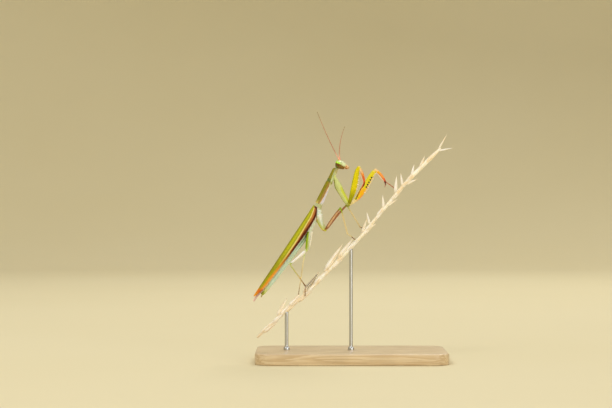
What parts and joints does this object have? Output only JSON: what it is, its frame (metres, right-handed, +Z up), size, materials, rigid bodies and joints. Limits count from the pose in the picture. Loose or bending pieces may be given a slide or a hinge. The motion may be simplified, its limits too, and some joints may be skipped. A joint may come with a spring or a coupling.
{
  "type": "praying mantis model on a grass perch",
  "caption": "Life-size still model of a male European mantis climbing a dry grass spike, fore legs raised, held by slim rods over a flat wooden base.",
  "frame": {"origin": "the middle of the underside of the display base", "axes": "+Z up from the surface the base rests on; +X the way the mantis faces and the grass spike rises; +Y towards the left side of the mantis"},
  "size_m": [0.0717, 0.04, 0.0889],
  "materials": {
    "abdomen": "ringed soft cuticle, pale blue-green with darker hind edges",
    "antenna": "fine ringed threads, salmon red",
    "cercus": "ringed, finely hairy, green",
    "eye": "smooth faceted cornea, lime green above with a red-brown band low in the eye",
    "forewing": "veined leathery wing, green with a cream line, and a margin maroon in front and orange behind",
    "head": "satin cuticle, bright green crown, pale green-white face, olive cheeks",
    "hindwing": "glassy folded wing with a mauve tip",
    "fore_coxa": "satin cuticle, pale green with a lime edge",
    "fore_femur": "satin cuticle, yellow with olive edges, black-footed spines",
    "fore_tarsus": "five thin links, dark red",
    "fore_tibia": "satin cuticle, orange running to a dark maroon hook",
    "hind_coxa": "satin cuticle, green",
    "hind_femur": "satin cuticle, whitish with a green knee",
    "hind_tarsus": "five thin links and two claws, brown",
    "hind_tibia": "finely hairy cuticle, pale green running to tan brown",
    "mid_coxa": "satin cuticle, pale green",
    "mid_femur": "satin cuticle, red-brown with a green knee",
    "mid_tarsus": "five thin links and two claws, brown",
    "mid_tibia": "finely hairy cuticle, yellow-green running to tan",
    "mouthparts": "satin cuticle, peach to brown",
    "neck": "soft pleated skin, pale green",
    "dry_grass": "dry striped straw, cream with tan and grey-brown streaks",
    "pronotum": "finely pitted cuticle, olive with brownish lower edges",
    "base_wood": "pale fine-grained wood, satin oiled, softened edges",
    "rod_steel": "drawn steel, satin",
    "thorax": "soft cuticle plates, whitish green"
  },
  "bodies": {
    "root": {"abdomen": "abdomen", "antenna_left": "antenna", "antenna_right": "antenna", "cercus_left": "cercus", "cercus_right": "cercus", "eye_left": "eye", "eye_right": "eye", "forewing_left": "forewing", "forewing_right": "forewing", "head_capsule": "head", "hindwing_left": "hindwing", "hindwing_right": "hindwing", "leg_fore_left_coxa": "fore_coxa", "leg_fore_left_femur": "fore_femur", "leg_fore_left_tarsus": "fore_tarsus", "leg_fore_left_tibia": "fore_tibia", "leg_fore_right_coxa": "fore_coxa", "leg_fore_right_femur": "fore_femur", "leg_fore_right_tarsus": "fore_tarsus", "leg_fore_right_tibia": "fore_tibia", "leg_hind_left_coxa": "hind_coxa", "leg_hind_left_femur": "hind_femur", "leg_hind_left_tarsus": "hind_tarsus", "leg_hind_left_tibia": "hind_tibia", "leg_hind_right_coxa": "hind_coxa", "leg_hind_right_femur": "hind_femur", "leg_hind_right_tarsus": "hind_tarsus", "leg_hind_right_tibia": "hind_tibia", "leg_mid_left_coxa": "mid_coxa", "leg_mid_left_femur": "mid_femur", "leg_mid_left_tarsus": "mid_tarsus", "leg_mid_left_tibia": "mid_tibia", "leg_mid_right_coxa": "mid_coxa", "leg_mid_right_femur": "mid_femur", "leg_mid_right_tarsus": "mid_tarsus", "leg_mid_right_tibia": "mid_tibia", "mouthparts": "mouthparts", "neck": "neck", "perch_stem": "dry_grass", "pronotum": "pronotum", "stand_base": "base_wood", "stand_rod_high": "rod_steel", "stand_rod_low": "rod_steel", "thorax": "thorax"}
  },
  "joints": []
}
